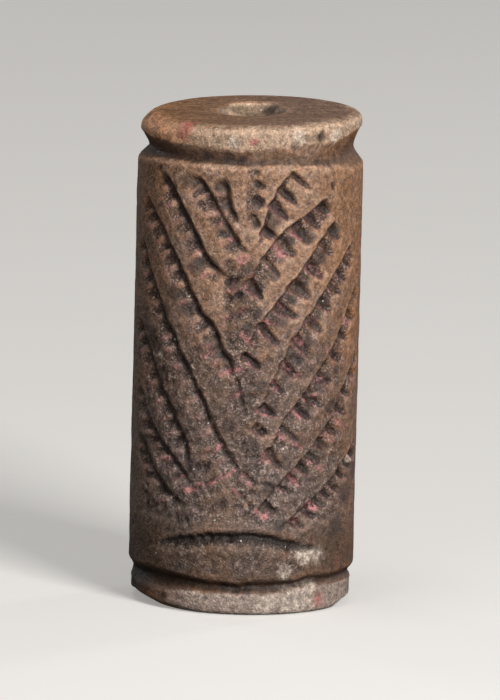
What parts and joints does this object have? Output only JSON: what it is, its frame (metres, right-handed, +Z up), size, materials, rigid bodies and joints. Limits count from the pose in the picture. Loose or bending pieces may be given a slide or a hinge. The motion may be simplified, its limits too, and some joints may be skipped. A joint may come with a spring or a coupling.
{
  "type": "cylinder seal",
  "caption": "Carved stone cylinder seal with a bore along its axis, a rim and a neck groove at each end, and nested hatched chevrons round its side, rolled over clay to leave a pattern.",
  "frame": {"origin": "middle of the lower end, on the surface that the seal stands on", "axes": "+Z up along the bore, -Y towards the carved front, +X to the front's right"},
  "size_m": [0.0228, 0.0228, 0.0503],
  "materials": {
    "stone": "worn matt brown-grey stone with earth in the carving"
  },
  "bodies": {
    "root": {"cylinder_seal": "stone"}
  },
  "joints": []
}
